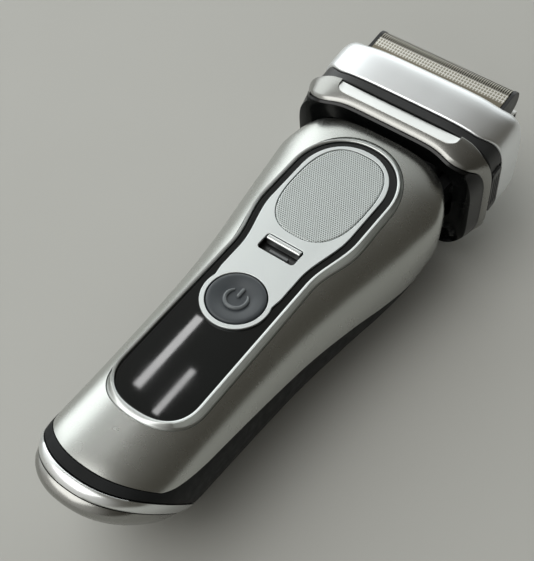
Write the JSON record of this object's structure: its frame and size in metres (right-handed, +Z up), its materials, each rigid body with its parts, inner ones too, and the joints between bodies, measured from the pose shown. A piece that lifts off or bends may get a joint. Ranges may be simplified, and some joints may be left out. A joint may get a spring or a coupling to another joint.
{
  "type": "foil shaver",
  "caption": "Hand-held electric foil shaver with a metal-fronted handle, swivelling head and lift-off foil cassette.",
  "frame": {"origin": "bottom centre of the bounding box, the shaver lying on its back", "axes": "+Y from the base towards the shaving head, +Z up out of the control face, +X to the right seen from the front"},
  "size_m": [0.057, 0.1604, 0.042],
  "materials": {
    "satin_shell": "satin",
    "bright_trim": "soft bright",
    "black_rubber": "matte",
    "gloss_black": "glossy",
    "button_grey": "matte",
    "foil_steel": "perforated",
    "blade_steel": "ground",
    "grey_plastic": "matte",
    "board_green": "matte",
    "copper_wire": "enamelled",
    "cell_wrap": "printed sleeve",
    "contact_gold": "polished"
  },
  "bodies": {
    "handle": {"front_housing": "satin_shell", "rear_housing": "black_rubber", "base_ring": "bright_trim", "base_cap": "satin_shell", "charge_contact_left": "contact_gold", "charge_contact_right": "contact_gold", "charge_socket": "grey_plastic", "window_bezel": "bright_trim", "display_window": "gloss_black", "control_plate": "bright_trim", "grip_pad": "grey_plastic", "chassis": "grey_plastic", "battery_cell": "cell_wrap", "battery_cap": "blade_steel", "battery_tab_positive": "blade_steel", "battery_tab_negative": "blade_steel", "circuit_board": "board_green", "display_module": "grey_plastic", "tact_switch": "blade_steel", "button_seal": "black_rubber", "board_screw_front_left": "blade_steel", "board_screw_front_right": "blade_steel", "board_screw_back_left": "blade_steel", "board_screw_back_right": "blade_steel", "shoulder_deck": "black_rubber", "neck_yoke": "grey_plastic"},
    "power_button": {"power_button": "button_grey"},
    "travel_lock": {"lock_slider": "gloss_black", "lock_slider_bar": "bright_trim"},
    "latch": {"lock_latch": "grey_plastic"},
    "trimmer": {"trimmer_slide": "black_rubber", "trimmer_arm": "grey_plastic", "trimmer_comb": "blade_steel"},
    "trimmer_blade": {"trimmer_blade": "blade_steel"},
    "head": {"head_cup": "gloss_black", "head_frame": "satin_shell", "head_membrane": "black_rubber", "motor_stator": "blade_steel", "motor_coil": "copper_wire", "pivot_pin_left": "blade_steel", "pivot_pin_right": "blade_steel"},
    "drive_front": {"drive_carriage_front": "blade_steel"},
    "drive_rear": {"drive_carriage_rear": "blade_steel"},
    "release_left": {"release_button_left": "gloss_black"},
    "release_right": {"release_button_right": "gloss_black"},
    "cassette": {"cassette_frame": "black_rubber", "cassette_cover": "bright_trim", "skin_guard": "grey_plastic"},
    "float_front": {"foil_front": "foil_steel", "foil_cradle_front": "grey_plastic"},
    "float_rear": {"foil_rear": "foil_steel", "foil_cradle_rear": "grey_plastic"},
    "float_centre": {"centre_trimmer": "blade_steel"},
    "cutter_front": {"cutter_front": "blade_steel"},
    "cutter_rear": {"cutter_rear": "blade_steel"},
    "cutter_centre": {"centre_trimmer_blade": "blade_steel"}
  },
  "joints": [
    {"name": "button_press", "type": "slide", "parent": "handle", "child": "power_button", "axis": [0, 0, -1], "range_m": [0, 0.0007], "stiffness_N_per_m": 900},
    {"name": "lock_slide", "type": "slide", "parent": "handle", "child": "travel_lock", "axis": [0, -1, 0], "range_m": [0, 0.0028]},
    {"name": "latch_slide", "type": "slide", "parent": "handle", "child": "latch", "axis": [0, 1, 0], "range_m": [0, 0.0028]},
    {"name": "trimmer_slide_up", "type": "slide", "parent": "handle", "child": "trimmer", "axis": [0, 1, 0], "range_m": [0, 0.008]},
    {"name": "trimmer_blade_stroke", "type": "slide", "parent": "trimmer", "child": "trimmer_blade", "axis": [1, 0, 0], "range_m": [-0.0006, 0.0006]},
    {"name": "head_swivel", "type": "hinge", "parent": "handle", "child": "head", "pos_m": [0, 0.0505, 0.0224], "axis": [1, 0, 0], "range_deg": [-12, 7], "stiffness_Nm_per_rad": 0.12},
    {"name": "drive_stroke", "type": "slide", "parent": "head", "child": "drive_front", "axis": [1, 0, 0], "range_m": [-0.0012, 0.0012]},
    {"name": "drive_stroke_rear", "type": "slide", "parent": "head", "child": "drive_rear", "axis": [1, 0, 0], "range_m": [-0.0012, 0.0012]},
    {"name": "release_left_press", "type": "slide", "parent": "head", "child": "release_left", "axis": [1, 0, 0], "range_m": [0, 0.0011], "stiffness_N_per_m": 700},
    {"name": "release_right_press", "type": "slide", "parent": "head", "child": "release_right", "axis": [-1, 0, 0], "range_m": [0, 0.0011], "stiffness_N_per_m": 700},
    {"name": "cassette_lift", "type": "slide", "parent": "head", "child": "cassette", "axis": [0, 0.9945, 0.1045], "range_m": [0, 0.015]},
    {"name": "foil_front_float", "type": "slide", "parent": "cassette", "child": "float_front", "axis": [0, -0.9945, -0.1045], "range_m": [0, 0.0015], "stiffness_N_per_m": 500},
    {"name": "foil_rear_float", "type": "slide", "parent": "cassette", "child": "float_rear", "axis": [0, -0.9945, -0.1045], "range_m": [0, 0.0015], "stiffness_N_per_m": 500},
    {"name": "centre_float", "type": "slide", "parent": "cassette", "child": "float_centre", "axis": [0, -0.9945, -0.1045], "range_m": [0, 0.0015], "stiffness_N_per_m": 500},
    {"name": "cutter_front_stroke", "type": "slide", "parent": "float_front", "child": "cutter_front", "axis": [1, 0, 0], "range_m": [-0.0012, 0.0012]},
    {"name": "cutter_rear_stroke", "type": "slide", "parent": "float_rear", "child": "cutter_rear", "axis": [1, 0, 0], "range_m": [-0.0012, 0.0012]},
    {"name": "cutter_centre_stroke", "type": "slide", "parent": "float_centre", "child": "cutter_centre", "axis": [1, 0, 0], "range_m": [-0.0012, 0.0012]}
  ],
  "couplings": [
    {"joint": "latch_slide", "follows": "lock_slide", "ratio": 1},
    {"joint": "drive_stroke_rear", "follows": "drive_stroke", "ratio": -1},
    {"joint": "cutter_front_stroke", "follows": "drive_stroke", "ratio": 1},
    {"joint": "cutter_rear_stroke", "follows": "drive_stroke", "ratio": -1},
    {"joint": "cutter_centre_stroke", "follows": "drive_stroke", "ratio": 1},
    {"joint": "trimmer_blade_stroke", "follows": "drive_stroke", "ratio": 0.5}
  ]
}
